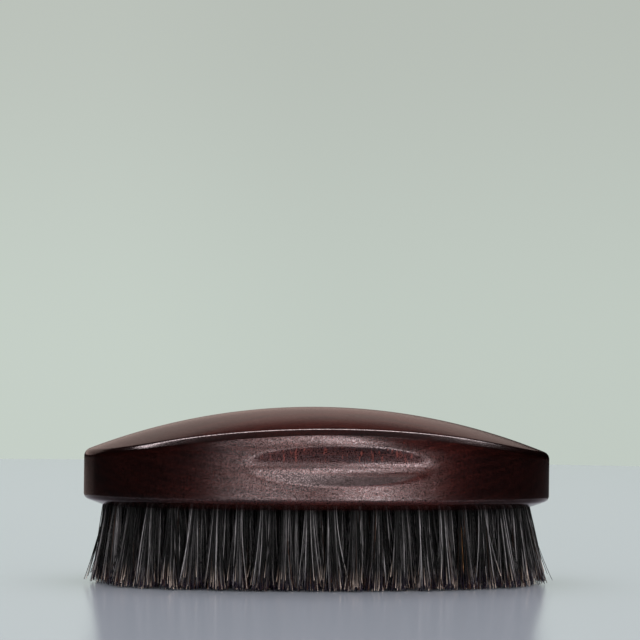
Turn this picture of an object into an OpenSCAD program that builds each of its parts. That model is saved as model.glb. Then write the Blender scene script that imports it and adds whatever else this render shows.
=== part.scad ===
// Oval palm brush for beards: a one-piece wooden body with a domed back and a finger scoop
// along each long side, set with tufts of boar bristle. Each tuft is folded in half over a
// flat wire anchor and driven into its own drilled hole. X runs along the brush, Y across it
// and Z up. The brush stands on its bristle tips, which are trimmed level at z = 0.

/* [Wooden body] */
// Length of the oval body, along X
body_length = 120; // [112:1:130]
// Width of the body, along Y
body_width = 63; // [60:1:66]
// Height of the whole brush, from the bristle tips to the crown of the back
brush_height = 45; // [43:0.5:50]
// Radius of the two rounded ends of the oval
end_radius = 25; // [22:0.5:27]
// Fall of the back from its crown to the two ends
end_drop = 11.6; // [8:0.2:12.4]
// Fall of the back from its crown to the two long sides
side_drop = 5.0; // [3:0.1:5.5]
// How far the edge of the flat bristle face lies inside the wall
face_inset = 4.4; // [3.5:0.1:4.8]
// Radius of the rounded lower edge of the wall
lower_edge_radius = 1.6; // [1:0.1:2.6]
// Slope of the bevel between the lower edge and the bristle face, in degrees
bevel_slope = 20; // [10:5:30]

/* [Finger scoops] */
// Length of a scoop along the brush
scoop_length = 45.6; // [42:0.2:50]
// Height of a scoop where it is tallest
scoop_height = 9.5; // [8:0.1:10.5]
// Depth of a scoop in its middle
scoop_depth = 1.2; // [0.8:0.1:1.5]
// Height of a scoop's centre above the bristle face
scoop_rise = 10.9; // [9.5:0.1:11.5]
// How far the cutter's path is moved towards -X; its arc is flatter than the side, so the scoops move towards +X, by three quarters of this
cutter_shift = 1.7; // [0:0.1:3]

/* [Bristles] */
// Free length of the bristles, from the wood to the tips
bristle_length = 20; // [16:0.5:22]
// Distance from the edge of the bristle face to the middle of the outermost holes
first_row_inset = 1.7; // [1.5:0.1:2]
// Distance between neighbouring tufts along a row
tuft_pitch = 5.7; // [5.6:0.1:6.4]
// Radius of a drilled hole
hole_radius = 1.3; // [1.1:0.05:1.4]
// Depth of a drilled hole
hole_depth = 10; // [8:0.5:12]
// Radius that a tuft spreads to at its tips
tip_radius = 2.4; // [1.8:0.1:2.4]
// Outward lean of the outermost tufts, in degrees
outer_splay = 10; // [6:1:12]

/* [Wire anchors] */
// Thickness of the flat wire
wire_thickness = 0.4; // [0.3:0.05:0.5]
// Height of the flat wire
wire_height = 1.6; // [1.2:0.1:2]

/* [Hidden] */

wood_colour = [0.24, 0.10, 0.08];
bristle_colour = [0.09, 0.08, 0.08];
wire_colour = [0.78, 0.63, 0.35];

$fn = 96;
path_steps = 720;
half_length = body_length / 2;
half_width = body_width / 2;
degrees_per_radian = 180 / PI;

// The back is barrel-shaped: an arc across the brush, swept round an arc along it.
back_radius_along = (half_length ^ 2 + end_drop ^ 2) / (2 * end_drop);
back_radius_across = (half_width ^ 2 + side_drop ^ 2) / (2 * side_drop);

// Height from the bristle face to the foot of the upright wall
edge_rise = lower_edge_radius * cos(bevel_slope)
    + tan(bevel_slope) * (face_inset - lower_edge_radius * (1 - sin(bevel_slope)));
edge_step = 10;

face_z = bristle_length;
scoop_z = face_z + scoop_rise;

// A round-nosed cutter makes a scoop. It follows an arc that is flatter than the wall, so that
// it comes out of the wood at both ends of the scoop.
cutter_radius = ((scoop_height / 2) ^ 2 + scoop_depth ^ 2) / (2 * scoop_depth);
cutter_away = half_width + cutter_radius - scoop_depth;
wall_radius = ((half_length - end_radius) ^ 2 + half_width ^ 2 - end_radius ^ 2)
    / (2 * (half_width - end_radius));
cutter_sag = wall_radius - sqrt(wall_radius ^ 2 - (scoop_length / 2) ^ 2) - scoop_depth;
cutter_path = cutter_radius + ((scoop_length / 2) ^ 2 + cutter_sag ^ 2) / (2 * cutter_sag);

// Rows 1 to 5 are rings that follow the outline, and row 6 is a straight row in the middle.
ring_count = 5;
middle_row = ring_count + 1;
outer_ring_inset = face_inset + first_row_inset;
outer_ring_end = end_radius - outer_ring_inset;
row_pitch = (half_width - outer_ring_inset) / ring_count;

fit_gap = 0.05;
slot_gap = 0.02;
tuft_radius = hole_radius - fit_gap;
tuft_top = hole_depth - 2 * fit_gap;
fold_thickness = 1.1;
wire_z = tuft_top - fold_thickness - wire_height;
wire_width = 2 * sqrt(hole_radius ^ 2 - (wire_thickness / 2) ^ 2) - slot_gap;
cut_margin = 1;

// ---- Four-arc ovals -------------------------------------------------------------------
// An oval of half length a, half width b and end radius re is two end arcs and two side arcs
// that meet without a corner. It is the list [end radius, end centre, side radius, side
// centre, angle where the arcs meet], where the end centres are at x = +-end centre and the
// side centres are at y = +-side centre.

function oval(a, b, re) =
    let (ce = a - re)
    let (rs = (ce ^ 2 + b ^ 2 - re ^ 2) / (2 * (b - re)))
    let (cs = rs - b)
    [re, ce, rs, cs, atan2(cs, ce)];

// Lengths of one quarter of an oval: its share of an end arc and of a side arc
function end_arc(o) = o[0] * o[4] / degrees_per_radian;
function side_arc(o) = o[2] * (90 - o[4]) / degrees_per_radian;
function quarter_length(o) = end_arc(o) + side_arc(o);

// [x, y, outward direction] at a distance s along the first quarter, from the +X end
function on_end_arc(o, t) = [o[1] + o[0] * cos(t), o[0] * sin(t), t];
function on_side_arc(o, t) = [o[2] * cos(t), o[2] * sin(t) - o[3], t];
function on_quarter(o, s) =
    s < end_arc(o)
        ? on_end_arc(o, s / o[0] * degrees_per_radian)
        : on_side_arc(o, o[4] + (s - end_arc(o)) / o[2] * degrees_per_radian);

// The same anywhere on the oval, at a fraction u of the way round
function across_y(p) = [-p.x, p.y, 180 - p[2]];
function across_x(p) = [p.x, -p.y, -p[2]];
function on_oval(o, u) =
    u > 0.5 ? across_x(on_oval(o, 1 - u))
    : u > 0.25 ? across_y(on_oval(o, 0.5 - u))
    : on_quarter(o, 4 * u * quarter_length(o));

// ---- Where the tufts stand ------------------------------------------------------------

function ring_inset(row) = outer_ring_inset + (row - 1) * row_pitch;
// Row 1 is parallel to the outline, and the others keep its proportion of end to width.
function ring(row) =
    let (a = half_length - ring_inset(row), b = half_width - ring_inset(row))
    oval(a, b, b * outer_ring_end / (half_width - outer_ring_inset));
function ring_tufts(row) = 2 * round(2 * quarter_length(ring(row)) / tuft_pitch);
function middle_reach() = floor((half_length - half_width) / tuft_pitch);
function splay(row) = outer_splay * (middle_row - row) / ring_count;

// Places of one row's tufts: half is "front", "back" or, for the straight row, "middle"
function places(row, half) =
    half == "middle"
        ? [for (i = [-middle_reach() : middle_reach()]) [i * tuft_pitch, 0, 0]]
        : let (n = ring_tufts(row), first = half == "back" ? 0 : n / 2)
          [for (i = [first : first + n / 2 - 1]) on_oval(ring(row), (i + 0.5) / n)];

function halves(row) = row == middle_row ? ["middle"] : ["front", "back"];

// Stands its children in a hole, with z = 0 at the hole's mouth and +Z into the wood
module in_hole(place, row) {
    translate([place.x, place.y, face_z])
        rotate([0, 0, place[2]])
            rotate([0, -splay(row), 0])
                children();
}

// ---- Wooden body ----------------------------------------------------------------------

// Half section of the body's wall, for an arc of radius r
module wall_section(r) {
    edge_z = face_z + edge_rise;
    edge_r = r - lower_edge_radius;
    polygon([
        [0, face_z],
        [r - face_inset, face_z],
        for (a = [bevel_slope - 90 : edge_step : 0])
            [edge_r + lower_edge_radius * cos(a), edge_z + lower_edge_radius * sin(a)],
        [r, brush_height + cut_margin],
        [0, brush_height + cut_margin],
    ]);
}

// One rounded end of the oval
module end_block(o) {
    translate([o[1], 0, 0])
        rotate_extrude()
            wall_section(o[0]);
}

// The long side between the two ends, out from the middle line and as far as the lines
// where its arc meets theirs
module side_block(o) {
    reach = 1.5 * o[0];
    intersection() {
        translate([0, -o[3], 0])
            rotate_extrude()
                wall_section(o[2]);
        linear_extrude(brush_height + 2 * cut_margin)
            polygon([
                [-o[1], 0],
                [o[1], 0],
                [o[1] + reach * cos(o[4]), reach * sin(o[4])],
                [-o[1] - reach * cos(o[4]), reach * sin(o[4])],
            ]);
    }
}

module oval_blank() {
    o = oval(half_length, half_width, end_radius);
    for (turn = [0, 180])
        rotate([0, 0, turn]) {
            end_block(o);
            side_block(o);
        }
}

// Everything below the domed back
module back_barrel() {
    translate([0, 0, brush_height - back_radius_along])
        rotate([90, 0, 0])
            rotate_extrude()
                intersection() {
                    translate([back_radius_along - back_radius_across, 0])
                        circle(back_radius_across);
                    translate([0, -body_width])
                        square([back_radius_along + cut_margin, 2 * body_width]);
                }
}

// The path of the round-nosed cutter along one long side
module finger_scoop(side) {
    translate([-cutter_shift, side * (cutter_away - cutter_path), scoop_z])
        rotate_extrude($fn = path_steps)
            translate([cutter_path, 0])
                circle(cutter_radius);
}

module holes() {
    for (row = [1 : middle_row])
        for (half = halves(row))
            for (place = places(row, half))
                in_hole(place, row)
                    translate([0, 0, -cut_margin])
                        cylinder(r = hole_radius, h = hole_depth + cut_margin);
}

module wooden_body() {
    color(wood_colour)
        difference() {
            intersection() {
                oval_blank();
                back_barrel();
            }
            finger_scoop(-1);
            finger_scoop(1);
            holes();
        }
}

// ---- Tufts and their anchors ----------------------------------------------------------

// Flat wire across the hole, with an allowance all round for the slot it sits in
module flat_wire(width, allowance) {
    translate([-wire_thickness / 2 - allowance, -width / 2, wire_z - allowance])
        cube([wire_thickness + 2 * allowance, width, wire_height + 2 * allowance]);
}

// One tuft: straight inside its hole, then spreading to its tips
module tuft(lean) {
    free = face_z / cos(lean);
    spread = (tip_radius - tuft_radius) / free;
    reach = free + tip_radius * sin(lean) + cut_margin;
    difference() {
        rotate_extrude()
            polygon([
                [0, -reach],
                [tuft_radius + spread * reach, -reach],
                [tuft_radius, 0],
                [tuft_radius, tuft_top],
                [0, tuft_top],
            ]);
        flat_wire(2 * hole_radius, slot_gap);
    }
}

// The tufts of one row or half row, trimmed level at the tips
module tufts(row, half) {
    color(bristle_colour)
        difference() {
            for (place = places(row, half))
                in_hole(place, row)
                    tuft(splay(row));
            translate([-body_length, -body_width, -4 * cut_margin])
                cube([2 * body_length, 2 * body_width, 4 * cut_margin]);
        }
}

// The anchors that hold those tufts
module anchors(row, half) {
    color(wire_colour)
        for (place = places(row, half))
            in_hole(place, row)
                flat_wire(wire_width, 0);
}

wooden_body();
tufts(1, "front");  // tufts_row_1_front
tufts(1, "back");  // tufts_row_1_back
tufts(2, "front");  // tufts_row_2_front
tufts(2, "back");  // tufts_row_2_back
tufts(3, "front");  // tufts_row_3_front
tufts(3, "back");  // tufts_row_3_back
tufts(4, "front");  // tufts_row_4_front
tufts(4, "back");  // tufts_row_4_back
tufts(5, "front");  // tufts_row_5_front
tufts(5, "back");  // tufts_row_5_back
tufts(6, "middle");  // tufts_row_6_middle
anchors(1, "front");  // anchors_row_1_front
anchors(1, "back");  // anchors_row_1_back
anchors(2, "front");  // anchors_row_2_front
anchors(2, "back");  // anchors_row_2_back
anchors(3, "front");  // anchors_row_3_front
anchors(3, "back");  // anchors_row_3_back
anchors(4, "front");  // anchors_row_4_front
anchors(4, "back");  // anchors_row_4_back
anchors(5, "front");  // anchors_row_5_front
anchors(5, "back");  // anchors_row_5_back
anchors(6, "middle");  // anchors_row_6_middle
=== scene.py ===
"""Looks of the beard brush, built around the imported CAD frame.

The wooden body is one fine mesh: a domed back, a wall with two finger scoops, a rounded and
bevelled lower edge, and a flat face with a drilled hole for each tuft. The tufts are separate
tapered bristles that leave those holes. Lengths on the brush are in millimetres, and are turned
into metres by MM when a mesh is written. The stage, the lights and the camera are placed in
metres.
"""
import math

import bpy
import numpy as np
from mathutils import Matrix, Vector
from mathutils.geometry import delaunay_2d_cdt


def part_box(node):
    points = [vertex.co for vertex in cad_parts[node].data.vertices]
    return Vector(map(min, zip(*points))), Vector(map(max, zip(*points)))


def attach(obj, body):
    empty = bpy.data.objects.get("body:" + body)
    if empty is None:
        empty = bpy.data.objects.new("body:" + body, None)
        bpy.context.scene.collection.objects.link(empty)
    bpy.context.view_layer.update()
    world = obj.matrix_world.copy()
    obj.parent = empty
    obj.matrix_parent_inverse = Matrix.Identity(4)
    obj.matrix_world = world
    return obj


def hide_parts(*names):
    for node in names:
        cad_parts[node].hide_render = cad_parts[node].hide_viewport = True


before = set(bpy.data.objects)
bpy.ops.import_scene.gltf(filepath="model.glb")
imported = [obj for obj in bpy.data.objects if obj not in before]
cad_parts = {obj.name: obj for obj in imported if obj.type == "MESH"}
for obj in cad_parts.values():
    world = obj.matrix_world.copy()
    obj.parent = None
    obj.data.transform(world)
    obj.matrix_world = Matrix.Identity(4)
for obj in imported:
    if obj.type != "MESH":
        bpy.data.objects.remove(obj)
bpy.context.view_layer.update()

MM = 0.001
SEED = 20250

# ---- Sizes of the brush, in millimetres ---------------------------------------------------
body_low, body_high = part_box("wooden_body")
HALF_LENGTH = (body_high.x - body_low.x) / 2 / MM
HALF_WIDTH = (body_high.y - body_low.y) / 2 / MM
FACE_Z = body_low.z / MM
CROWN_Z = body_high.z / MM

END_RADIUS = 25.0
CURVATURE_BLEND = 4.0        # how softly the end arcs run into the side arcs
END_DROP = 11.6
SIDE_DROP = 5.2              # the sanded rim lies 0.2 mm under the back of the CAD solids
END_EDGE_RADIUS = 2.1        # rounding of the back's rim at the two ends
LOWER_EDGE_RADIUS = 1.6
BEVEL_SLOPE = math.radians(20)
FACE_INSET = 4.4
SCOOP_LENGTH = 45.6
SCOOP_HEIGHT = 9.5
SCOOP_DEPTH = 1.2
SCOOP_RISE = 10.9
CUTTER_SHIFT = 1.7           # of the path towards -X, which moves the scoops towards +X
SCOOP_RIM = 0.26             # how far the rim of a scoop is softened
HOLE_RADIUS = 1.3
HOLE_DEPTH = 10.0

BACK_ALONG = (HALF_LENGTH**2 + END_DROP**2) / (2 * END_DROP)
BACK_ACROSS = (HALF_WIDTH**2 + SIDE_DROP**2) / (2 * SIDE_DROP)
SIDE_RADIUS = ((HALF_LENGTH - END_RADIUS) ** 2 + HALF_WIDTH**2 - END_RADIUS**2) / (
    2 * (HALF_WIDTH - END_RADIUS))
CUTTER_RADIUS = ((SCOOP_HEIGHT / 2) ** 2 + SCOOP_DEPTH**2) / (2 * SCOOP_DEPTH)
CUTTER_AWAY = HALF_WIDTH + CUTTER_RADIUS - SCOOP_DEPTH      # from the middle of the brush
SAG = SIDE_RADIUS - math.sqrt(SIDE_RADIUS**2 - (SCOOP_LENGTH / 2) ** 2) - SCOOP_DEPTH
CUTTER_PATH = CUTTER_RADIUS + ((SCOOP_LENGTH / 2) ** 2 + SAG**2) / (2 * SAG)
SCOOP_Z = FACE_Z + SCOOP_RISE
SCOOP_REACH = 0.6 * HALF_LENGTH    # well past the scoops' tips

# Stretches of the rim's profile in the middle of a long side, from the wall up to the back: how
# long each is, the share of the whole turn that is done at its end, and how many rows it gets.
RIM_STRETCHES = [(2.8, 0.11, 9), (0.16, 0.45, 3), (1.55, 0.47, 3), (0.75, 1.0, 9)]
RIM_ROWS = sum(rows for _, _, rows in RIM_STRETCHES)
ROUND_FROM = 0.55            # of the half length: there the chamfer starts to turn round
ROUND_OVER = 0.4             # and over this share of it the rim becomes fully round

# ---- Fineness of the body's mesh ----------------------------------------------------------
OUTLINE_STEPS = 4000         # in which a quarter of the outline is worked out
COLUMNS = 840                # round the outline
TOP_RINGS = 24
TOP_CROWDING = 1.15          # above 1, the back's rings crowd towards the rim
RIM_PASSES = 6               # in which the rim's place on the back is found
ROWS_ABOVE_SCOOP = 15        # the wall's rows gather at the rims of the scoops
ROWS_IN_SCOOP = 28
ROWS_BELOW_SCOOP = 12
LEAST_OPENING = 0.5          # half the height kept for a scoop's rows where there is no scoop
LEAST_ABOVE = 0.5            # height kept for the rows above a scoop, which runs into the rim
MIDDLE_BELOW_TOP = 2.5       # how far the middle of a scoop's rows stays under the wall's top
LOWER_EDGE_STEPS = 8
BEVEL_STEPS = 3
HOLE_SIDES = 16

# How near the points of a CAD tuft are to the bristle face or the floor, to be read as its own.
NEAR_FACE = 0.3
NEAR_FLOOR = 0.01


def put(name, data):
    """A new object in the scene."""
    ob = bpy.data.objects.new(name, data)
    bpy.context.scene.collection.objects.link(ob)
    return ob


def shares(count):
    """Equal steps up to 1, without the 0 that they start from."""
    return np.linspace(0, 1, count + 1)[1:]


# ---- Shape of the wooden body -------------------------------------------------------------
def outline():
    """Points round the oval at equal steps, with outward normals. The oval is four arcs whose
    curvature is blended where they meet. One quarter is worked out, and mirrored to the rest."""
    meet = math.atan2(SIDE_RADIUS - HALF_WIDTH, HALF_LENGTH - END_RADIUS)
    end_arc = END_RADIUS * meet
    step = (end_arc + SIDE_RADIUS * (math.pi / 2 - meet)) / OUTLINE_STEPS
    s = (np.arange(OUTLINE_STEPS) + 0.5) * step
    on_side = 0.5 + 0.5 * np.tanh((s - end_arc) / CURVATURE_BLEND)
    bend = (1 - on_side) / END_RADIUS + on_side / SIDE_RADIUS
    turn = np.cumsum(bend) - bend / 2
    turn *= math.pi / 2 / bend.sum()
    x = np.append(0, np.cumsum(np.sin(turn)))
    y = np.append(0, np.cumsum(np.cos(turn)))
    x, y = HALF_LENGTH * (1 - x / x[-1]), HALF_WIDTH * y / y[-1]
    run = np.append(0, np.cumsum(np.hypot(np.diff(x), np.diff(y))))
    at = (np.arange(COLUMNS // 4) + 0.5) / (COLUMNS // 4) * run[-1]
    quarter = np.column_stack([np.interp(at, run, x), np.interp(at, run, y)])
    half = np.concatenate([quarter, quarter[::-1] * (-1, 1)])
    points = np.concatenate([half, half[::-1] * (1, -1)])
    along = np.roll(points, -1, 0) - np.roll(points, 1, 0)
    along /= np.linalg.norm(along, axis=1)[:, None]
    return points, np.column_stack([along[:, 1], -along[:, 0]])


def back_height(x, y):
    """Height of the domed back: an arc across the brush, swept round an arc along it."""
    r = BACK_ALONG - BACK_ACROSS + np.sqrt(BACK_ACROSS**2 - y**2)
    return CROWN_Z - BACK_ALONG + np.sqrt(r**2 - x**2)


def back_slope(point, outward):
    """Slope of the back at each point, in the outward direction."""
    h = 0.05
    a, b = point + h * outward, point - h * outward
    return (back_height(a[:, 0], a[:, 1]) - back_height(b[:, 0], b[:, 1])) / (2 * h)


def soft_min(a, b, k):
    """The smaller of a and b, rounded off where they cross."""
    h = np.maximum(k - np.abs(a - b), 0) / k
    return np.minimum(a, b) - h * h * k / 4


def scooped(points):
    """Points of the wall, pushed in where a round cutter passed along a long arc."""
    room = np.maximum(CUTTER_RADIUS**2 - (points[..., 2] - SCOOP_Z) ** 2, 0)
    cut = CUTTER_AWAY - CUTTER_PATH + np.sqrt(
        (CUTTER_PATH - np.sqrt(room)) ** 2 - (points[..., 0] + CUTTER_SHIFT) ** 2)
    wall = np.abs(points[..., 1])
    pushed = np.where(room > 0, soft_min(wall, cut, SCOOP_RIM), wall)
    out = points.copy()
    out[..., 1] = np.where(np.abs(points[..., 0]) < SCOOP_REACH,
                           np.sign(points[..., 1]) * pushed, points[..., 1])
    return out


def scoop_opening(wall):
    """Half the height of the scoop's mouth in each column of the wall, never quite zero."""
    x, y = wall[:, 0], np.abs(wall[:, 1])
    gap = CUTTER_PATH - np.hypot(x + CUTTER_SHIFT, y + CUTTER_PATH - CUTTER_AWAY)
    room = np.where(np.abs(x) < SCOOP_REACH, CUTTER_RADIUS**2 - gap**2, 0)
    return np.sqrt(np.maximum(room, 0) + LEAST_OPENING**2)


def wall_heights(top, bottom, opening):
    """Heights of the wall's rows in each column, close together at the rims of the scoops."""
    rows = []
    middle = np.minimum(SCOOP_Z, top - MIDDLE_BELOW_TOP)
    above = np.minimum(opening, top - middle - LEAST_ABOVE)
    for f in shares(ROWS_ABOVE_SCOOP):
        rows.append(middle + above + (top - middle - above) * (1 - f) ** 2)
    for f in shares(ROWS_IN_SCOOP):
        part = math.cos(math.pi * f)
        rows.append(middle + (above if part > 0 else opening) * part)
    for f in shares(ROWS_BELOW_SCOOP):
        rows.append(middle - opening - (middle - opening - bottom) * f * f)
    return rows


def rim_profile(turn, ends):
    """How far in and how high the rim's rows are from the foot of the rim, in each column. Turn
    is the whole angle that the profile turns through, and ends is 0 in the middle of a long
    side, where the rim is a narrow chamfer, and 1 at the ends, where it is round."""
    bends, lengths = [], []
    done = 0.0
    for length, share, rows in RIM_STRETCHES:
        for k in range(rows):
            bends.append(done + (share - done) * (k + 0.5) / rows)
            lengths.append(length / rows)
        done = share
    chamfer = np.outer(bends, turn)
    chamfer_step = np.array(lengths)[:, None]
    round_off = np.outer((np.arange(RIM_ROWS) + 0.5) / RIM_ROWS, turn)
    round_step = END_EDGE_RADIUS * turn / RIM_ROWS
    inward = ((1 - ends) * np.cumsum(np.sin(chamfer) * chamfer_step, axis=0)
              + ends * np.cumsum(np.sin(round_off) * round_step, axis=0))
    upward = ((1 - ends) * np.cumsum(np.cos(chamfer) * chamfer_step, axis=0)
              + ends * np.cumsum(np.cos(round_off) * round_step, axis=0))
    return inward, upward


def body_shell():
    """Rows of points from the middle of the back, over the rim, down the wall and under to
    the edge of the bristle face. Each row has one point for each column of the outline."""
    wall, out = outline()
    ends = np.clip((np.abs(wall[:, 0]) / HALF_LENGTH - ROUND_FROM) / ROUND_OVER, 0, 1)
    ends = ends * ends * (3 - 2 * ends)
    inner = wall - out
    for _ in range(RIM_PASSES):
        turn = math.pi / 2 + np.arctan(back_slope(inner, out))
        inward, upward = rim_profile(turn, ends)
        inner = wall - inward[-1][:, None] * out
    foot_z = back_height(inner[:, 0], inner[:, 1]) - upward[-1]

    def row(inset, z):
        inset, z = (np.broadcast_to(value, COLUMNS) for value in (inset, z))
        return np.column_stack([wall - inset[:, None] * out, z])

    rows = []
    spine = np.column_stack([inner[:, 0] * (HALF_LENGTH - HALF_WIDTH) / HALF_LENGTH,
                             np.zeros(COLUMNS)])
    for f in np.linspace(0, 1, TOP_RINGS):
        share = 1 - (1 - f) ** TOP_CROWDING
        xy = spine + share * (inner - spine)
        rows.append(np.column_stack([xy, back_height(xy[:, 0], xy[:, 1])]))
    for k in reversed(range(RIM_ROWS - 1)):
        rows.append(row(inward[k], foot_z + upward[k]))
    rows.append(row(0, foot_z))
    edge_z = FACE_Z + LOWER_EDGE_RADIUS * math.cos(BEVEL_SLOPE) + math.tan(BEVEL_SLOPE) * (
        FACE_INSET - LOWER_EDGE_RADIUS * (1 - math.sin(BEVEL_SLOPE)))
    for z in wall_heights(foot_z, edge_z, scoop_opening(wall)):
        rows.append(row(0, z))
    for f in shares(LOWER_EDGE_STEPS):
        angle = (math.pi / 2 - BEVEL_SLOPE) * f
        inset = LOWER_EDGE_RADIUS * (1 - math.cos(angle))
        z = edge_z - LOWER_EDGE_RADIUS * math.sin(angle)
        rows.append(row(inset, z))
    for f in shares(BEVEL_STEPS):
        rows.append(row(inset + (FACE_INSET - inset) * f, z + (FACE_Z - z) * f))
    return scooped(np.array(rows))


def loose_parts(ob):
    """Corner points of each separate solid in a CAD node, in millimetres."""
    mesh = ob.data
    co = np.zeros(len(mesh.vertices) * 3)
    mesh.vertices.foreach_get("co", co)
    points, which = np.unique(np.round(co.reshape(-1, 3) / MM, 3), axis=0, return_inverse=True)
    which = which.ravel()
    mesh.calc_loop_triangles()
    tris = np.zeros(len(mesh.loop_triangles) * 3, int)
    mesh.loop_triangles.foreach_get("vertices", tris)
    tris = which[tris].reshape(-1, 3)
    label = np.arange(len(points))
    while True:
        new = label.copy()
        np.minimum.at(new, tris.ravel(), np.repeat(label[tris].min(1), 3))
        new = new[new]
        if (new == label).all():
            return [points[label == k] for k in np.unique(label)]
        label = new


def tuft_axes(ob):
    """(mouth of the hole, middle of the tips) for each tuft of a CAD node, in millimetres."""
    axes = []
    for points in loose_parts(ob):
        mouth = points[np.abs(points[:, 2] - FACE_Z) < NEAR_FACE]
        tips = points[points[:, 2] < NEAR_FLOOR]
        axes.append((np.append(mouth[:, :2].mean(0), FACE_Z), np.append(tips[:, :2].mean(0), 0.0)))
    return sorted(axes, key=lambda axis: (round(axis[0][0], 2), round(axis[0][1], 2)))


def across(axis):
    """Two unit vectors square to each axis."""
    first = np.cross(axis, [0.0, 1.0, 0.0])
    first /= np.linalg.norm(first, axis=-1, keepdims=True)
    return first, np.cross(axis, first)


def hole_loops(mouth, tips):
    """A drilled hole's rim on the bristle face, and the same ring at its bottom."""
    axis = (mouth - tips) / np.linalg.norm(mouth - tips)
    u, v = across(axis)
    turn = np.arange(HOLE_SIDES) / HOLE_SIDES * 2 * math.pi
    ring = mouth + HOLE_RADIUS * (np.cos(turn)[:, None] * u + np.sin(turn)[:, None] * v)
    rim = ring - ((ring[:, 2] - FACE_Z) / axis[2])[:, None] * axis
    return rim, ring + HOLE_DEPTH * axis


def shell_faces(index):
    """Faces between neighbouring rows of point numbers. The first row is the middle line of the
    back, where points from its two sides are one, so faces there may be triangles."""
    faces = []
    for upper, lower in zip(index[:-1], index[1:]):
        for i in range(len(upper)):
            j = (i + 1) % len(upper)
            corners = list(dict.fromkeys([upper[i], lower[i], lower[j], upper[j]]))
            if len(corners) > 2:
                faces.append(corners)
    return faces


def body_mesh(axes):
    """Points, faces and sharp edges of the shell and the drilled bristle face in one closed
    mesh. The face is triangulated between its edge and the rims of the holes."""
    rows = body_shell()
    n_rows, n = rows.shape[:2]
    points = list(rows.reshape(-1, 3))
    index = np.arange(n_rows * n).reshape(n_rows, n)
    mirror = (n - 1 - np.arange(n)) % n
    index[0] = np.minimum(index[0], index[0][mirror])
    faces = shell_faces(index)
    flat = [tuple(p[:2]) for p in rows[-1]]
    ids = list(index[-1])
    bonds = [(i, (i + 1) % n) for i in range(n)]
    sharp = [(ids[i], ids[j]) for i, j in bonds]
    home = [None] * n            # the hole that each flat point belongs to
    for k, (mouth, tips) in enumerate(axes):
        rim, bottom = hole_loops(mouth, tips)
        first, start = len(flat), len(points)
        flat += [tuple(p[:2]) for p in rim]
        points += list(rim) + list(bottom)
        ids += range(start, start + HOLE_SIDES)
        home += [k] * HOLE_SIDES
        for i in range(HOLE_SIDES):
            j = (i + 1) % HOLE_SIDES
            bonds.append((first + i, first + j))
            sharp.append((start + i, start + j))
            faces.append([start + i, start + j, start + HOLE_SIDES + j, start + HOLE_SIDES + i])
        faces.append([start + HOLE_SIDES + i for i in range(HOLE_SIDES)])
    _, _, triangles, came_from, _, _ = delaunay_2d_cdt(
        [Vector(p) for p in flat], bonds, [], 1, 1e-5)
    for triangle in triangles:
        corners = [came_from[v][0] for v in triangle]
        homes = {home[c] for c in corners}
        if len(homes) > 1 or homes == {None}:
            faces.append([ids[c] for c in reversed(corners)])
    return np.array(points), faces, sharp


def build_body(name, axes):
    """The wooden body, smooth but for the edge of the bristle face and the rims of the holes."""
    points, faces, sharp = body_mesh(axes)
    mesh = bpy.data.meshes.new(name)
    mesh.from_pydata([tuple(p) for p in points * MM], [], faces)
    mesh.validate()
    mesh.update()
    mesh.shade_smooth()
    wanted = {tuple(sorted(map(int, edge))) for edge in sharp}
    for edge in mesh.edges:
        if tuple(sorted(edge.vertices)) in wanted:
            edge.use_edge_sharp = True
    return put(name, mesh)


# ---- Bristles, with lengths in millimetres ------------------------------------------------
STRANDS = 68                 # in each tuft
STRAND_RADIUS = 0.115
STRAND_SIDES = 3
LOCKS = 7                    # groups of strands that lean together in a tuft
STATIONS = np.array([-8.0, 0.0, 5.0, 10.0, 15.0, 18.2, 20.0])   # distance below the face
ROOT_SPREAD = 1.12           # radius of the bundle in its hole
TIP_SPREAD = 2.35            # and at its tips
LEFT_GATHER = 1.5            # how far the tips of the tufts at the -X end are drawn in
GATHER_FROM = 42.0           # distance from the middle where this starts
GATHER_OVER = 14.0           # and over which it grows to the full
STRAY_SHARE = 0.09           # of the strands
SHORT_SHARE = 0.35           # of them that are clearly shorter
FLOOR_GAP = 0.02             # between the lowest tips and the floor
ANY_ANGLE = 6.3              # a little over a whole turn
GOLDEN_ANGLE = math.pi * (3 - math.sqrt(5))

# How light the strands are: the share of them up to which each range is drawn, and the range. The
# lighter ranges are partly the strands' own grey and partly painted shine, in place of the
# highlights that the lamps give some strands.
TONES_AND_PAINTED_SHINE = [(0.64, 0.001, 0.006), (0.84, 0.015, 0.08), (1.0, 0.12, 0.34)]
STRAND_GREY = np.array([1.0, 0.93, 0.95])
BROWN = np.array([0.15, 0.075, 0.05])
AMBER = np.array([0.42, 0.20, 0.08])
CREAM_TIP = np.array([1.00, 0.78, 0.66])
PURPLE_TIP = np.array([0.022, 0.013, 0.030])
BROWN_SHARE = 0.03           # of the strands
AMBER_SHARE = 0.0012
CREAM_TIPS = 0.19            # shares of the tips that are cream, and that are cream or brown
CREAM_OR_BROWN_TIPS = 0.30
TIP_COLOUR_FROM = 0.88       # of the way down a strand
# Painted shade on the bristles: their colour is darkened near the roots, where the tufts lie in
# the body's shadow.
PAINTED_ROOT_SHADE = 0.15            # of a strand's colour that is left in the dark at its root
ROOT_SHADE_LIFT_PER_MM = 0.17          # and how fast it comes back
GLOSSY_SHARE = 0.30


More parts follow.
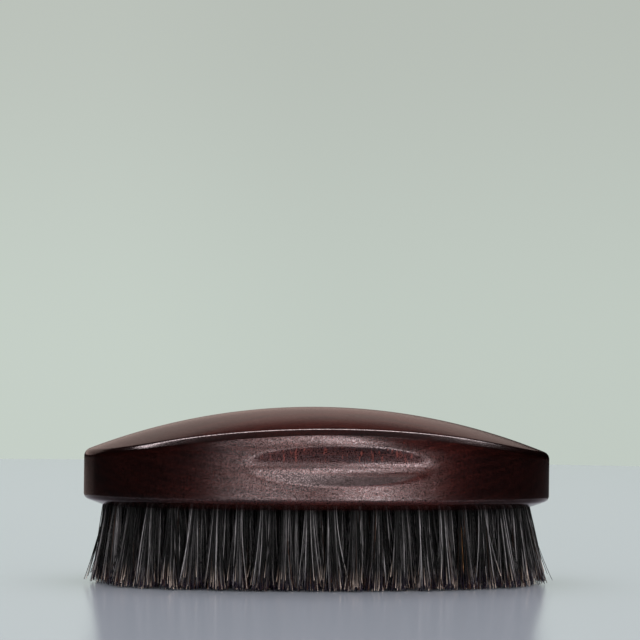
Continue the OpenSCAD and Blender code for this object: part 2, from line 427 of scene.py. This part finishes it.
def strand_points(axes, rng):
    """Corner points of every strand, a three-sided rod: [strand, station, corner, xyz]."""
    count = len(axes) * STRANDS
    mouth = np.repeat([a[0] for a in axes], STRANDS, axis=0)
    tips = np.repeat([a[1] for a in axes], STRANDS, axis=0)
    tips[:, 0] += LEFT_GATHER * np.clip((-tips[:, 0] - GATHER_FROM) / GATHER_OVER, 0, 1)
    axis = (tips - mouth) / np.linalg.norm(tips - mouth, axis=1)[:, None]
    u, v = across(axis)

    k = np.tile(np.arange(STRANDS), len(axes))
    tuft = np.repeat(np.arange(len(axes)), STRANDS)
    distance = np.sqrt((k + 0.5) / STRANDS)
    turn = k * GOLDEN_ANGLE + rng.uniform(0, ANY_ANGLE, len(axes))[tuft]
    disc = distance[:, None] * np.column_stack([np.cos(turn), np.sin(turn)])
    root = ROOT_SPREAD * disc + rng.normal(0, 0.05, (count, 2))
    lock = rng.integers(0, LOCKS, count)
    gather = rng.normal(0, 0.45, (len(axes), LOCKS, 2))[tuft, lock]
    lean = rng.normal(0, 0.50, (len(axes), 2))[tuft]
    width = rng.normal(TIP_SPREAD, 0.22, len(axes))[tuft] * rng.normal(1.0, 0.12, count)
    tip = width[:, None] * disc + gather + lean + rng.normal(0, 0.30, (count, 2))
    stray = rng.random(count) < STRAY_SHARE
    tip += np.where(stray[:, None], rng.normal(0, 1.2, (count, 2)), 0)
    bow = rng.normal(0, 0.16, (count, 2))
    phase = rng.uniform(0, ANY_ANGLE, count)
    short = np.abs(rng.normal(0, 0.7, count))
    short += np.where(rng.random(count) < SHORT_SHARE, rng.uniform(0, 2.8, count), 0)
    thick = STRAND_RADIUS * rng.uniform(0.75, 1.2, count)

    full = np.linalg.norm(tips - mouth, axis=1)
    points = np.zeros((count, len(STATIONS), STRAND_SIDES, 3))
    for i, station in enumerate(STATIONS):
        t = station / STATIONS[-1]
        down = full * t if t <= 0 else (full - short) * t
        f = max(t, 0.0)
        bend = f * (0.55 + 0.45 * f)
        off = root * (1 - bend) + tip * bend + bow * math.sin(math.pi * f)
        centre = mouth + down[:, None] * axis + off[:, :1] * u + off[:, 1:] * v
        size = thick * (1.0 if f < 0.7 else 1.0 - 0.30 * ((f - 0.7) / 0.3) ** 1.3)
        for c in range(STRAND_SIDES):
            angle = phase + c * 2 * math.pi / STRAND_SIDES
            points[:, i, c] = centre + size[:, None] * (
                np.cos(angle)[:, None] * u + np.sin(angle)[:, None] * v)
    points[..., 2] = np.maximum(points[..., 2], FLOOR_GAP)
    return points


def strand_mesh(name, points):
    """One mesh of all the strands, each closed by a cap at both ends."""
    count, stations, sides = points.shape[:3]
    per_strand = stations * sides
    base = np.arange(count)[:, None, None] * per_strand
    ring = np.arange(stations - 1)[None, :, None] * sides
    side = np.arange(sides)[None, None, :]
    after = (side + 1) % sides
    quads = np.stack([base + ring + side, base + ring + after,
                      base + ring + sides + after, base + ring + sides + side], -1).reshape(-1, 4)
    first_cap = base[:, 0] + np.arange(sides)[::-1]
    last_cap = base[:, 0] + per_strand - sides + np.arange(sides)
    caps = np.concatenate([first_cap, last_cap])
    corners = np.concatenate([quads.ravel(), caps.ravel()])
    starts = np.concatenate([np.arange(len(quads)) * 4,
                             quads.size + np.arange(len(caps)) * sides])
    mesh = bpy.data.meshes.new(name)
    mesh.vertices.add(count * per_strand)
    mesh.vertices.foreach_set("co", (points.reshape(-1) * MM).astype(np.float32))
    mesh.loops.add(len(corners))
    mesh.loops.foreach_set("vertex_index", corners.astype(np.int32))
    mesh.polygons.add(len(starts))
    mesh.polygons.foreach_set("loop_start", starts.astype(np.int32))
    mesh.update(calc_edges=True)
    mesh.validate()
    mesh.shade_smooth()
    return mesh


def paint(mesh, layer, colour):
    """Stores a colour on each point of a mesh, for the material to read."""
    attribute = mesh.color_attributes.new(layer, "FLOAT_COLOR", "POINT")
    attribute.data.foreach_set("color", colour.ravel())


def paint_strands(mesh, count, rng):
    """Gives every strand its own lightness, partly painted shine, a tip and a dullness, and
    painted shade near its root.
    """
    kind = rng.random(count)
    # Lightness of each strand, which on the lighter strands is partly painted shine.
    tone_and_shine_draws = [rng.uniform(low, high, count) for _, low, high in TONES_AND_PAINTED_SHINE]
    tone_and_shine = np.select([kind < share for share, _, _ in TONES_AND_PAINTED_SHINE], tone_and_shine_draws)
    strand = STRAND_GREY * tone_and_shine[:, None]
    strand[rng.random(count) < BROWN_SHARE] = 0.25 * BROWN
    strand[rng.random(count) < AMBER_SHARE] = AMBER
    tip_kind = rng.random(count)[:, None]
    tip = np.where(tip_kind < CREAM_OR_BROWN_TIPS, 0.9 * BROWN, PURPLE_TIP)
    tip = np.where(tip_kind < CREAM_TIPS, CREAM_TIP, tip)
    colour = np.ones((count, len(STATIONS), STRAND_SIDES, 4), np.float32)
    for i, station in enumerate(STATIONS):
        way_down = station / STATIONS[-1]
        f = max((way_down - TIP_COLOUR_FROM) / (1 - TIP_COLOUR_FROM), 0.0)
        # Painted shade: each strand is darker near its root, where the tuft lies in the body's
        # shadow.
        root_shade = min(PAINTED_ROOT_SHADE + ROOT_SHADE_LIFT_PER_MM * max(station, 0.0), 1.0)
        colour[:, i, :, :3] = root_shade * (strand * (1 - f) + tip * f)[:, None, :]
    paint(mesh, "bristle", colour)
    dull = np.ones((count, len(STATIONS) * STRAND_SIDES, 4), np.float32)
    glossy = rng.random(count) < GLOSSY_SHARE
    dull[..., :3] = np.where(glossy, rng.uniform(0.05, 0.25, count),
                             rng.uniform(0.60, 1.0, count))[:, None, None]
    paint(mesh, "dullness", dull)


def build_bristles(name, axes, rng):
    """All the bristles of one row of tufts as one piece."""
    points = strand_points(axes, rng)
    mesh = strand_mesh(name, points)
    paint_strands(mesh, len(points), rng)
    return put(name, mesh)


# ---- Materials ----------------------------------------------------------------------------
class Recipe:
    """A material, with short ways to add the nodes that these looks are made of."""

    def __init__(self, name):
        self.material = bpy.data.materials.new(name)
        self.material.use_nodes = True
        self.tree = self.material.node_tree
        self.shader = self.tree.nodes["Principled BSDF"]

    def add(self, kind, **inputs):
        node = self.tree.nodes.new("ShaderNode" + kind)
        for socket, value in inputs.items():
            self.feed(node.inputs[socket], value)
        return node

    def feed(self, socket, value):
        if isinstance(value, bpy.types.NodeSocket):
            self.tree.links.new(value, socket)
        else:
            socket.default_value = value

    def math(self, operation, *values):
        node = self.tree.nodes.new("ShaderNodeMath")
        node.operation = operation
        for socket, value in zip(node.inputs, values):
            self.feed(socket, value)
        return node.outputs[0]

    def place(self, per_mm=(1, 1, 1)):
        """Object coordinates in millimetres, times per_mm along each axis."""
        spot = self.add("TexCoord").outputs["Object"]
        return self.add("Mapping", Vector=spot, Scale=[k / MM for k in per_mm]).outputs["Vector"]

    def noise(self, per_mm, detail=2.0, roughness=0.5):
        node = self.add("TexNoise", Vector=self.place(per_mm), Scale=1.0, Detail=detail,
                        Roughness=roughness)
        return node.outputs["Fac"]

    def spread(self, value, low, high, to_low=0.0, to_high=1.0):
        """Maps low..high onto to_low..to_high, held at both ends."""
        node = self.add("MapRange", Value=value)
        node.inputs["From Min"].default_value = low
        node.inputs["From Max"].default_value = high
        node.inputs["To Min"].default_value = to_low
        node.inputs["To Max"].default_value = to_high
        node.interpolation_type = "SMOOTHSTEP"
        return node.outputs["Result"]

    def mix(self, share, first, second, kind="MIX"):
        """Mixes two colours. Kind is Blender's name for the way to mix them."""
        node = self.tree.nodes.new("ShaderNodeMix")
        node.data_type = "RGBA"
        node.blend_type = kind
        for socket, value in zip((node.inputs[0], node.inputs[6], node.inputs[7]),
                                 (share, first, second)):
            self.feed(socket, value)
        return node.outputs[2]

    def shaded(self, colour, light):
        """A colour times a plain value."""
        grey = self.add("CombineXYZ", X=light, Y=light, Z=light).outputs[0]
        return self.mix(1.0, colour, grey, kind="MULTIPLY")

    def painted(self, layer):
        """The colour that paint() stored on a mesh."""
        node = self.tree.nodes.new("ShaderNodeVertexColor")
        node.layer_name = layer
        return node.outputs["Color"]

    def bump(self, height, distance_mm):
        return self.add("Bump", Height=height, Distance=distance_mm * MM).outputs["Normal"]


RING_AXIS = (26.0, -60.0)    # Y and Z of the tree's centre line, which runs along X
RING_SPACING = 2.1
DARK_STAIN = (0.0110, 0.0032, 0.0030, 1)
WARM_STAIN = (0.036, 0.0080, 0.0066, 1)
LATE_WOOD = (0.055, 0.012, 0.009, 1)
RED_GRAIN = (0.120, 0.016, 0.011, 1)
RAY_FLECK = (0.150, 0.030, 0.020, 1)
THIN_STAIN = (0.105, 0.0095, 0.0080, 1)
THIN_STAIN_X = 29.0          # middle of the place where the stain is thin
FILLED_PIT = (0.003, 0.002, 0.002, 1)


def late_wood(wood, spot):
    """Where the dark part of a year's growth lies."""
    out_y = wood.math("SUBTRACT", spot["Y"], RING_AXIS[0])
    out_z = wood.math("SUBTRACT", spot["Z"], RING_AXIS[1])
    reach = wood.math("SQRT", wood.math("ADD", wood.math("MULTIPLY", out_y, out_y),
                                        wood.math("MULTIPLY", out_z, out_z)))
    drift = wood.math("MULTIPLY", wood.noise((0.018, 0.05, 0.05), detail=3.0), 9.0)
    year = wood.math("FRACT", wood.math("DIVIDE", wood.math("ADD", reach, drift), RING_SPACING))
    return wood.math("MULTIPLY", wood.spread(year, 0.45, 0.92), wood.spread(year, 1.0, 0.94))


def ray_flecks(wood, spot, upward):
    """Upright red flecks, only where a scoop's upper part leans out and cuts the rays."""
    fleck = wood.spread(wood.noise((1.1, 1.1, 0.10), detail=2.0), 0.55, 0.66)
    for limit in (wood.spread(upward, -0.05, -0.20), wood.spread(upward, -0.75, -0.60),
                  wood.spread(spot["Z"], SCOOP_Z - 1.0, SCOOP_Z)):
        fleck = wood.math("MULTIPLY", fleck, limit)
    return fleck


def painted_end_and_rim_shade(wood, spot, upward):
    """How much of the colour is left: painted shade, darkest at the ends and on the rim, and a
    little on the back.
    """
    from_middle = wood.math("ABSOLUTE", spot["X"])
    rim = wood.math("MAXIMUM", wood.spread(upward, 0.12, 0.35, 1.0, 0.35),
                    wood.spread(upward, 0.85, 0.93, 0.35, 0.80))
    return wood.math("MULTIPLY", wood.spread(from_middle, 16.0, 48.0, 1.0, 0.26), rim)


def wood_material():
    """Close-grained wood under a dark red-brown stain and a satin varnish with fine pits, with
    painted shade at the ends, on the rim and on the back.
    """
    wood = Recipe("stained_wood")
    spot = wood.add("SeparateXYZ", Vector=wood.place()).outputs
    normal = wood.add("NewGeometry").outputs["Normal"]
    upward = wood.add("SeparateXYZ", Vector=normal).outputs["Z"]

    cloud = wood.noise((0.035, 0.11, 0.11), detail=4.0, roughness=0.62)
    colour = wood.mix(wood.spread(cloud, 0.32, 0.68), DARK_STAIN, WARM_STAIN)
    colour = wood.mix(wood.math("MULTIPLY", late_wood(wood, spot), 0.35), colour, LATE_WOOD)
    red = wood.noise((2.2, 3.4, 3.4), detail=2.0, roughness=0.7)
    colour = wood.mix(wood.spread(red, 0.52, 0.68, 0.0, 0.32), colour, RED_GRAIN)
    fleck = ray_flecks(wood, spot, upward)
    colour = wood.mix(wood.math("MULTIPLY", fleck, 0.65), colour, RAY_FLECK)
    from_thin = wood.math("ABSOLUTE", wood.math("SUBTRACT", spot["X"], THIN_STAIN_X))
    thin = wood.spread(from_thin, 17.0, 4.0)
    colour = wood.mix(wood.math("MULTIPLY", thin, 0.05), colour, THIN_STAIN)
    # Painted shade: the colour is darkened at the ends, on the rim and on the back.
    colour = wood.shaded(colour, painted_end_and_rim_shade(wood, spot, upward))

    grit = wood.noise((4.2, 4.2, 4.2), detail=2.0, roughness=0.8)
    pit = wood.math("MULTIPLY", wood.spread(grit, 0.49, 0.57),
                    wood.spread(upward, 0.45, 0.70, 1.0, 0.50))
    wood.feed(wood.shader.inputs["Base Color"], wood.mix(pit, colour, FILLED_PIT))
    wood.feed(wood.shader.inputs["Metallic"], pit)
    wood.feed(wood.shader.inputs["Roughness"], wood.spread(grit, 0.40, 0.60, 0.15, 0.22))
    shine = wood.math("MULTIPLY", wood.spread(grit, 0.46, 0.36, 0.44, 0.88),
                      wood.spread(upward, -0.45, -0.10, 0.45, 1.0))
    wood.feed(wood.shader.inputs["Specular IOR Level"], shine)
    wood.shader.inputs["Specular Tint"].default_value = (1.0, 0.80, 0.82, 1)
    wood.feed(wood.shader.inputs["Normal"], wood.bump(grit, 0.010))
    return wood.material


def bristle_material():
    """Boar bristle: each strand's own colour, with painted shade near the root and painted shine
    on the lighter strands, fine flaws and a soft shine.
    """
    hair = Recipe("boar_bristle")
    fleck = hair.spread(hair.noise((2.5, 2.5, 0.5), detail=3.0), 0.3, 0.7, 0.72, 1.2)
    hair.feed(hair.shader.inputs["Base Color"], hair.shaded(hair.painted("bristle"), fleck))
    scale = hair.noise((4.0, 4.0, 1.2), detail=2.0)
    hair.feed(hair.shader.inputs["Roughness"],
              hair.math("ADD", hair.math("MULTIPLY", hair.painted("dullness"), 0.55),
                        hair.spread(scale, 0.3, 0.7, 0.14, 0.24)))
    hair.shader.inputs["IOR"].default_value = 1.28
    hair.feed(hair.shader.inputs["Normal"], hair.bump(scale, 0.012))
    return hair.material


def wire_material():
    """Drawn brass wire, a little dulled, with lengthwise scratches."""
    wire = Recipe("anchor_wire")
    tarnish = wire.spread(wire.noise((0.8, 0.8, 0.8), detail=4.0), 0.35, 0.65)
    wire.feed(wire.shader.inputs["Base Color"],
              wire.mix(tarnish, (0.62, 0.43, 0.17, 1), (0.36, 0.22, 0.09, 1)))
    wire.shader.inputs["Metallic"].default_value = 1.0
    scratch = wire.noise((1.0, 9.0, 9.0), detail=2.0)
    wire.feed(wire.shader.inputs["Roughness"], wire.spread(scratch, 0.3, 0.7, 0.24, 0.46))
    wire.feed(wire.shader.inputs["Normal"], wire.bump(scratch, 0.01))
    return wire.material


# ---- Put the object together --------------------------------------------------------------
tuft_nodes = sorted(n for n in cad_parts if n.startswith("tufts_"))
anchor_nodes = sorted(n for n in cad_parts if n.startswith("anchors_"))
axes_of = {n: tuft_axes(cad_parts[n]) for n in tuft_nodes}

body = build_body("brush_body", [axis for n in tuft_nodes for axis in axes_of[n]])
body.data.materials.append(wood_material())
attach(body, "root")
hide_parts("wooden_body")

bristle_look = bristle_material()
bristle_pieces = []
for number, node in enumerate(tuft_nodes):
    piece = build_bristles(node.replace("tufts", "bristles"), axes_of[node],
                           np.random.default_rng(SEED + number))
    piece.data.materials.append(bristle_look)
    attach(piece, "root")
    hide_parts(node)
    bristle_pieces.append(piece)

wire_look = wire_material()
for node in anchor_nodes:
    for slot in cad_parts[node].material_slots:
        slot.material = wire_look


# ---- Stage, lights and camera, in metres --------------------------------------------------
TABLE_RADIUS = 0.18          # the part of the floor that the brush mirrors
FLOOR_RING = 0.50            # a ring of points halfway out on the rest of the floor
FLOOR_RADIUS = 0.80
COVE_RADIUS = 0.60
COVE_RINGS = 25
GLOW_TOP = 0.55              # how high the lower sheet of the backdrop reaches
WALL_RING = 0.7              # a ring of points just above the cove
WALL_TOP = 2.2
TURNS = 96                   # sides of the round floor and backdrop
WARM = (1.0, 0.80, 0.72)


def aimed(location, target, roll=0.0):
    """A matrix that looks from location to target, -Z forward, rolled about its own axis."""
    look = (target - location).to_track_quat("-Z", "Y").to_matrix().to_4x4()
    return Matrix.Translation(location) @ look @ Matrix.Rotation(roll, 4, "Z")


def only_lights(lamp, pieces):
    """Makes a lamp or a glowing sheet light nothing but these pieces."""
    group = bpy.data.collections.new(lamp.name + "_lights")
    for piece in pieces:
        group.objects.link(piece)
    lamp.light_linking.receiver_collection = group


def add_panel(name, width, height, radiance):
    """A glowing rectangle, out of the camera's sight."""
    light = bpy.data.lights.new(name, "AREA")
    light.shape = "RECTANGLE"
    light.size = width
    light.size_y = height
    light.energy = radiance * 4 * light.size * light.size_y
    ob = put(name, light)
    ob.visible_camera = False
    return ob


def add_softbox(name, around, up, width, height, radiance, distance=1.1, roll=0.0,
                colour=(1, 1, 1)):
    """A softbox as the brush sees it: the way to its middle and how wide and high it looks, in
    degrees, round from -Y and up from the floor. A positive roll leans its top to the left, as
    seen from behind it."""
    around, up, width, height = (math.radians(a) for a in (around, up, width, height))
    middle = Vector((0, 0, 0.03))
    way = Vector((math.sin(around) * math.cos(up), -math.cos(around) * math.cos(up),
                  math.sin(up)))
    ob = add_panel(name, 2 * distance * math.tan(width / 2), 2 * distance * math.tan(height / 2),
                   radiance)
    ob.data.color = colour
    ob.matrix_world = aimed(middle + distance * way, middle, math.radians(roll))
    return ob


def add_bounce_card(name, middle, width, depth, radiance):
    """A pale card lying on the floor in front of the brush."""
    ob = add_panel(name, width, depth, radiance)
    ob.matrix_world = Matrix.Translation((*middle, 0.0005)) @ Matrix.Rotation(math.pi, 4, "X")
    return ob


def turned(name, profile, material):
    """A sheet made by turning a profile of (radius, height) about the Z axis."""
    angles = [2 * math.pi * k / TURNS for k in range(TURNS)]
    verts = [(r * math.cos(a), r * math.sin(a), z) for r, z in profile for a in angles]
    faces = []
    for k in range(len(profile) - 1):
        for j in range(TURNS):
            a, b = k * TURNS + j, k * TURNS + (j + 1) % TURNS
            faces.append([a, a + TURNS, b + TURNS, b])
    mesh = bpy.data.meshes.new(name)
    mesh.from_pydata(verts, [], faces)
    mesh.shade_smooth()
    mesh.materials.append(material)
    ob = put(name, mesh)
    return ob


def floor_material():
    """A plain pale gloss paint."""
    floor = Recipe("pale_floor")
    floor.shader.inputs["Base Color"].default_value = (0.640, 0.660, 0.790, 1)
    floor.shader.inputs["Roughness"].default_value = 0.17
    floor.shader.inputs["IOR"].default_value = 1.9
    return floor.material


def backdrop_material():
    """A pale sheet that glows, a little less above and towards +X."""
    paper = Recipe("pale_backdrop")
    paper.shader.inputs["Base Color"].default_value = (0, 0, 0, 1)
    paper.shader.inputs["Specular IOR Level"].default_value = 0
    spot = paper.add("SeparateXYZ", Vector=paper.place()).outputs
    tint = paper.mix(paper.spread(spot["Z"], 40.0, 340.0),
                     (0.560, 0.625, 0.570, 1), (0.500, 0.540, 0.495, 1))
    fade = paper.spread(spot["X"], 0.0, 190.0, 1.0, 0.95)
    paper.feed(paper.shader.inputs["Emission Color"], paper.shaded(tint, fade))
    paper.shader.inputs["Emission Strength"].default_value = 1.0
    return paper.material


def make_stage():
    """A pale glossy floor that runs up into a glowing backdrop all the way round. The backdrop
    lights only the floor, and lamps of its own light the brush, so that its ends stay dark."""
    floor_look, backdrop_look = floor_material(), backdrop_material()
    table = turned("table", [(0.0001, 0), (TABLE_RADIUS, 0)], floor_look)
    rest = turned("floor", [(TABLE_RADIUS, 0), (FLOOR_RING, 0), (FLOOR_RADIUS, 0)], floor_look)
    rest.visible_glossy = False
    rest.visible_diffuse = False
    rest.visible_shadow = False
    cove = [(FLOOR_RADIUS + COVE_RADIUS * math.sin(a), COVE_RADIUS * (1 - math.cos(a)))
            for a in np.linspace(0, math.pi / 2, COVE_RINGS)]
    glow = [p for p in cove if p[1] < GLOW_TOP]
    wall = [(FLOOR_RADIUS + COVE_RADIUS, z) for z in (WALL_RING, WALL_TOP)]
    above = [glow[-1]] + [p for p in cove if p[1] >= GLOW_TOP] + wall
    for name, profile in (("backdrop", glow), ("above", above)):
        only_lights(turned(name, profile, backdrop_look), [table, rest])
    return table, rest


stage_floor = make_stage()
world = bpy.data.worlds.new("room")
world.use_nodes = True
world.node_tree.nodes["Background"].inputs["Color"].default_value = (1, 1, 1, 1)
world.node_tree.nodes["Background"].inputs["Strength"].default_value = 0.05

brush = [body] + bristle_pieces + [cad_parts[node] for node in anchor_nodes]
for lamp in (add_softbox("overhead_softbox", 0, 90, 80, 17, 14.0),
             add_softbox("front_softbox", 8, -5, 46, 32, 2.8, roll=-25),
             add_softbox("front_edge", -12, 4, 22, 32, 2.3),
             add_softbox("front_core", 14, 0, 12, 26, 8.0, roll=30),
             add_softbox("upper_core", 2, 27, 10, 34, 5.2, roll=8),
             add_softbox("front_high", 15, 36, 34, 36, 1.7),
             add_softbox("back_softbox", 193, 15, 66, 34, 0.33, colour=WARM),
             add_softbox("back_glow", 193, 0, 74, 22, 0.13, colour=WARM),
             add_bounce_card("bounce_card", (0.012, -0.105), 0.13, 0.11, 0.4)):
    only_lights(lamp, brush)
only_lights(add_softbox("floor_light", 0, 90, 70, 70, 0.95, distance=1.4), stage_floor)

CAMERA_TURN = math.radians(7.942)
CAMERA_AWAY = 0.6992
CAMERA_HEIGHT = 0.05817
CAMERA_PITCH = math.radians(0.750)
CAMERA_ROLL = math.radians(0.665)
camera = bpy.data.cameras.new("camera")
camera.sensor_width = 36
camera.lens = 153.0
camera.clip_end = 20
eye = put("camera", camera)
ahead = Vector((math.sin(CAMERA_TURN), math.cos(CAMERA_TURN), math.tan(CAMERA_PITCH)))
stand = Vector((-CAMERA_AWAY * math.sin(CAMERA_TURN), -CAMERA_AWAY * math.cos(CAMERA_TURN),
                CAMERA_HEIGHT))
eye.matrix_world = aimed(stand, stand + ahead, CAMERA_ROLL)

scene = bpy.context.scene
scene.world = world
scene.camera = eye
scene.view_settings.view_transform = "Standard"
